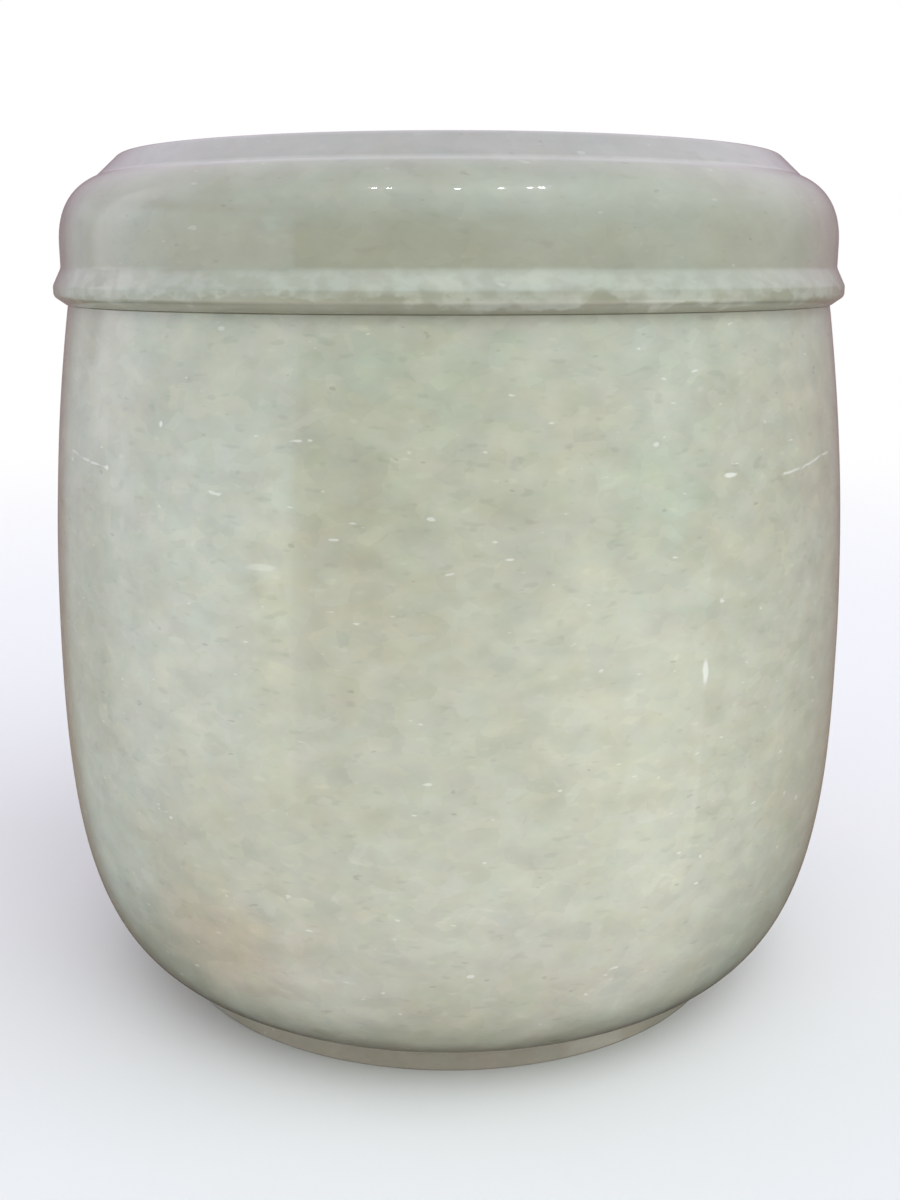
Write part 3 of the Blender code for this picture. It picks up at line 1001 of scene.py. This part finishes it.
def elevation_ramp(tree, elevation, stops):
    """A colour for each elevation in degrees, read from stops and scaled to stay within 1."""
    share = add_node(tree, "ShaderNodeMapRange", {0: elevation, 1: -90.0, 2: 90.0}).outputs[0]
    ramp = add_node(tree, "ShaderNodeValToRGB", {0: share})
    elements = ramp.color_ramp.elements
    while len(elements) < len(stops):
        elements.new(0.5)
    for element, (degrees, tint) in zip(elements, stops):
        element.position = (degrees + 90) / 180
        element.color = (*[channel / ROOM_BRIGHTEST for channel in tint], 1.0)
    return ramp.outputs[0]


def soft_window(tree, value, span, softness):
    """1 where the value is inside the span, with a softness of its own at either end."""
    (low, high), (low_soft, high_soft) = span, softness
    rise = eased_map(tree, value, low - low_soft, low + low_soft)
    fall = eased_map(tree, value, high - high_soft, high + high_soft, 1.0, 0.0)
    return maths(tree, "MULTIPLY", rise, fall)


def make_room(stage):
    """The world: plain and pale to the camera, and a soft dim room to everything else."""
    world = bpy.data.worlds.new("Room")
    bpy.context.scene.world = world
    world.use_nodes = True
    world.cycles.sampling_method = "NONE"
    tree = world.node_tree
    direction = add_node(tree, "ShaderNodeTexCoord").outputs["Generated"]
    split = add_node(tree, "ShaderNodeSeparateXYZ", {0: direction})
    toward = maths(tree, "MULTIPLY", split.outputs["Y"], -1)
    azimuth = maths(tree, "DEGREES", maths(tree, "ARCTAN2", split.outputs["X"], toward))
    elevation = maths(tree, "DEGREES", maths(tree, "ARCSINE", split.outputs["Z"]))
    turn = maths(tree, "ABSOLUTE", azimuth)
    back_share = eased_map(tree, turn, ROOM_TURN_START, ROOM_TURN_END)
    front = elevation_ramp(tree, elevation, ROOM_FRONT)
    back = elevation_ramp(tree, elevation, ROOM_BACK)
    room = add_node(tree, "ShaderNodeMix", {"Factor": back_share, 6: front, 7: back}, data_type="RGBA")
    paint = vector_maths(tree, "MULTIPLY", room.outputs[2], (ROOM_BRIGHTEST,) * 3)
    for panel in ROOM_PANELS:
        across = soft_window(tree, azimuth, panel.azimuths, panel.azimuth_softness)
        up = soft_window(tree, elevation, panel.elevations, panel.elevation_softness)
        seen = maths(tree, "MULTIPLY", across, up)
        paint = vector_maths(tree, "MULTIPLY_ADD", seen, panel.colour, paint, label=panel.name)
    shown = tree.nodes["Background"]
    tree.links.new(paint, shown.inputs["Color"])
    shown.inputs["Strength"].default_value = stage.room_strength
    plain = add_node(tree, "ShaderNodeBackground", {"Color": (*stage.backdrop, 1.0), "Strength": 1.0})
    path = add_node(tree, "ShaderNodeLightPath")
    switch = add_node(
        tree, "ShaderNodeMixShader",
        {0: path.outputs["Is Camera Ray"], 1: shown.outputs[0], 2: plain.outputs[0]},
    )
    tree.links.new(switch.outputs[0], tree.nodes["World Output"].inputs["Surface"])


def make_floor(stage):
    """A pale floor, which fades into the plain backdrop far from the urn."""
    mesh = bpy.data.meshes.new("floor")
    shape = bmesh.new()
    bmesh.ops.create_circle(shape, cap_ends=True, segments=FLOOR_SIDES, radius=stage.floor_radius)
    shape.to_mesh(mesh)
    shape.free()
    material = bpy.data.materials.new("floor_paper")
    material.use_nodes = True
    tree = material.node_tree
    shader = tree.nodes["Principled BSDF"]
    shader.inputs["Base Color"].default_value = (*stage.floor_colour, 1.0)
    shader.inputs["Roughness"].default_value = FLOOR_ROUGHNESS
    shader.inputs["Specular IOR Level"].default_value = FLOOR_GLOSS
    place = add_node(tree, "ShaderNodeTexCoord").outputs["Object"]
    fade = eased_map(tree, vector_maths(tree, "LENGTH", place), FLOOR_FADE_START, FLOOR_FADE_END)
    plain = add_node(tree, "ShaderNodeEmission", {"Color": (*stage.backdrop, 1.0), "Strength": 1.0})
    mixed = add_node(tree, "ShaderNodeMixShader", {0: fade, 1: shader.outputs[0], 2: plain.outputs[0]})
    tree.links.new(mixed.outputs[0], tree.nodes["Material Output"].inputs["Surface"])
    mesh.materials.append(material)
    floor = bpy.data.objects.new("floor", mesh)
    bpy.context.scene.collection.objects.link(floor)
    floor.visible_glossy = False


def add_light(name, kind, strength, colour, **settings):
    """A light object of the kind, with its strength, colour and further settings."""
    light = bpy.data.lights.new(name, kind)
    light.energy = strength
    light.color = colour
    for key, value in settings.items():
        setattr(light, key, value)
    holder = bpy.data.objects.new(name, light)
    bpy.context.scene.collection.objects.link(holder)
    return holder


def make_lights(stage):
    """Two broad soft lights for the stone, and small lamps that only the polish shows."""
    suns = (
        ("key_light", stage.key_strength, stage.key_colour, KEY_AZIMUTH),
        ("fill_light", stage.fill_strength, stage.fill_colour, FILL_AZIMUTH),
    )
    for name, strength, tint, azimuth in suns:
        sun = add_light(name, "SUN", strength, tint, angle=SUN_ANGLE)
        sun.rotation_euler = (SUN_TILT, 0, azimuth)
        sun.visible_glossy = False
    level = LAMP_DISTANCE * math.cos(LAMP_ELEVATION)
    rise = LAMP_DISTANCE * math.sin(LAMP_ELEVATION)
    for number, azimuth in enumerate(LAMP_AZIMUTHS, 1):
        lamp = add_light(
            f"lamp_{number}", "POINT", stage.lamp_power, (1, 1, 1), shadow_soft_size=stage.lamp_radius
        )
        lamp.location = LAMP_AIM + on_wall(azimuth, level, rise)
        lamp.visible_diffuse = False


def place_camera(stage):
    lens = bpy.data.cameras.new("camera")
    lens.sensor_width = CAMERA_FRAME
    lens.lens = stage.camera_lens
    lens.clip_start = CAMERA_NEAREST
    camera = bpy.data.objects.new("camera", lens)
    camera.location = (stage.camera_side, -stage.camera_distance, stage.camera_height)
    camera.rotation_euler = Euler((math.radians(90) - stage.camera_pitch, 0, 0))
    bpy.context.scene.collection.objects.link(camera)
    bpy.context.scene.camera = camera


class URN_OT_set_stage(bpy.types.Operator):
    """Lay the pale floor, light the room and place the camera"""

    bl_idname = "urn.set_stage"
    bl_label = "Set Stage"

    def execute(self, context):
        stage = context.scene.urn.stage
        context.scene.view_settings.view_transform = "Standard"
        make_room(stage)
        make_floor(stage)
        make_lights(stage)
        place_camera(stage)
        return {"FINISHED"}


class URN_PT_making(bpy.types.Panel):
    """The steps of making the urn"""

    bl_label = "Stone Urn"
    bl_idname = "URN_PT_making"
    bl_space_type = "VIEW_3D"
    bl_region_type = "UI"
    bl_category = "Urn"

    def draw(self, context):
        layout = self.layout
        for operator in OPERATORS:
            layout.operator(operator.bl_idname)
        settings = context.scene.urn
        for group in (settings.turning, settings.body, settings.lid, settings.stone, settings.stage):
            box = layout.box()
            box.label(text=group.bl_rna.description)
            for item in group.bl_rna.properties:
                if not item.is_readonly and item.identifier != "name":
                    box.prop(group, item.identifier)


OPERATORS = (URN_OT_turn_body, URN_OT_turn_lid, URN_OT_set_stage)
SETTINGS = (UrnBodySizes, UrnLidSizes, UrnTurning, UrnStoneLook, UrnStageLook, UrnSettings)
CLASSES = (*SETTINGS, *OPERATORS, URN_PT_making)


def register():
    for item in CLASSES:
        bpy.utils.register_class(item)
    bpy.types.Scene.urn = PointerProperty(type=UrnSettings)


def unregister():
    del bpy.types.Scene.urn
    for item in reversed(CLASSES):
        bpy.utils.unregister_class(item)


def main():
    register()
    bpy.ops.urn.turn_body()
    bpy.ops.urn.turn_lid()
    bpy.ops.urn.set_stage()


if __name__ == "__main__":
    main()
